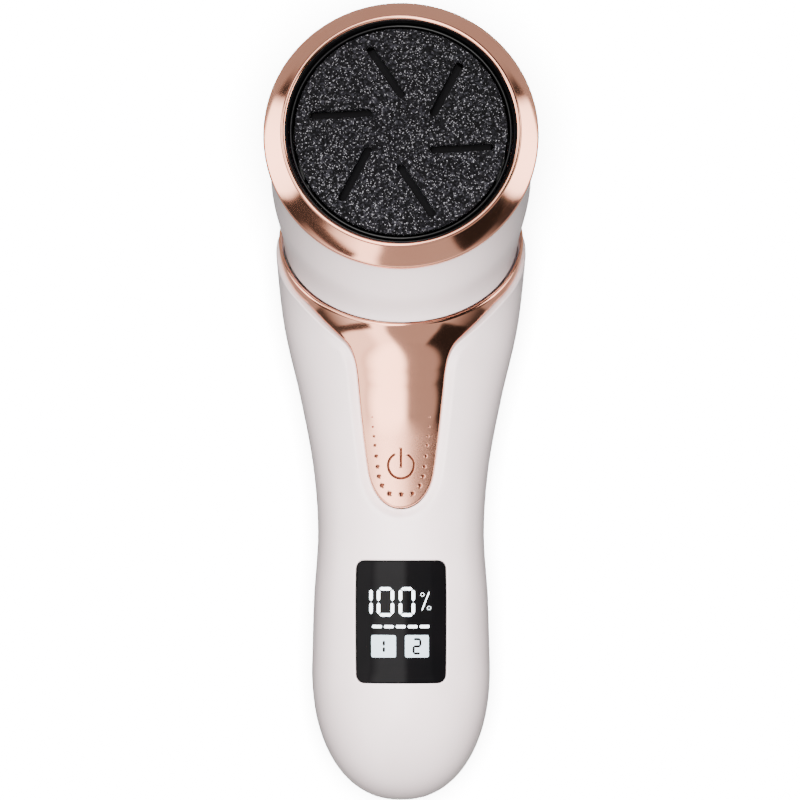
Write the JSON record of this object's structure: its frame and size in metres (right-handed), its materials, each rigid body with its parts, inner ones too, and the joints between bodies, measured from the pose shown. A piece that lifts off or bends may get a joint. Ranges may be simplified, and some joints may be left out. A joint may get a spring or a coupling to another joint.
{
  "type": "electric callus remover",
  "caption": "Handheld electric callus remover with a bent head, a spinning slotted abrasive disc inside a plated ring, a tongue-shaped power key and a small charge display.",
  "frame": {"origin": "centre of the bounding box's base: the plane that the device lies on when it rests on its back", "axes": "+Y runs along the handle towards the head, +Z is the side of the disc and the screen, X is the width"},
  "size_m": [0.06, 0.1774, 0.0611],
  "materials": {
    "shell": "satin white ABS",
    "rose_gold": "rose-gold electroplated ABS",
    "grit": "black resin with coarse quartz and carbide grains",
    "gloss_black": "polished black ABS",
    "screen": "smoked acrylic window",
    "steel": "bright steel",
    "sponge": "open-cell foam",
    "matt_black": "moulded nylon",
    "board": "solder-masked circuit board",
    "display": "display panel",
    "cell": "shrink-wrapped lithium cell"
  },
  "bodies": {
    "casing": {"back_casing": "shell", "front_casing": "shell", "head_casing": "shell", "outlet_cover": "shell", "collar_band": "rose_gold", "dust_cup": "gloss_black", "screen_window": "screen", "shaft_bearing": "steel", "motor_plate": "steel", "motor": "steel", "case_screw_1": "steel", "case_screw_2": "steel", "case_screw_3": "steel", "case_screw_4": "steel", "charge_socket": "steel", "dust_filter": "sponge", "switch_body": "matt_black", "battery_cradle": "matt_black", "main_board": "board", "charge_board": "board", "display_module": "display", "battery_cell": "cell"},
    "spindle": {"abrasive_disc": "grit", "disc_carrier": "matt_black", "drive_shaft": "steel", "suction_fan": "matt_black"},
    "guard_ring": {"guard_ring": "rose_gold"},
    "power_key": {"power_key": "rose_gold"},
    "switch_plunger": {"switch_plunger": "matt_black"}
  },
  "joints": [
    {"name": "disc_spin", "type": "hinge", "parent": "casing", "child": "spindle", "pos_m": [0, 0.05907, 0.0505], "axis": [0, 0.2079, 0.9781], "continuous": true},
    {"name": "ring_lift", "type": "slide", "parent": "casing", "child": "guard_ring", "axis": [0, 0.2079, 0.9781], "range_m": [0, 0.012]},
    {"name": "key_press", "type": "hinge", "parent": "casing", "child": "power_key", "pos_m": [0, 0.03287, 0.019], "axis": [1, 0, 0], "range_deg": [0, 0.9], "stiffness_Nm_per_rad": 0.5, "springref_deg": -1.72},
    {"name": "plunger_press", "type": "slide", "parent": "casing", "child": "switch_plunger", "axis": [0, 0, -1], "range_m": [0, 0.0008]}
  ],
  "couplings": [
    {"joint": "plunger_press", "follows": "key_press", "m_per_rad": 0.0455}
  ]
}
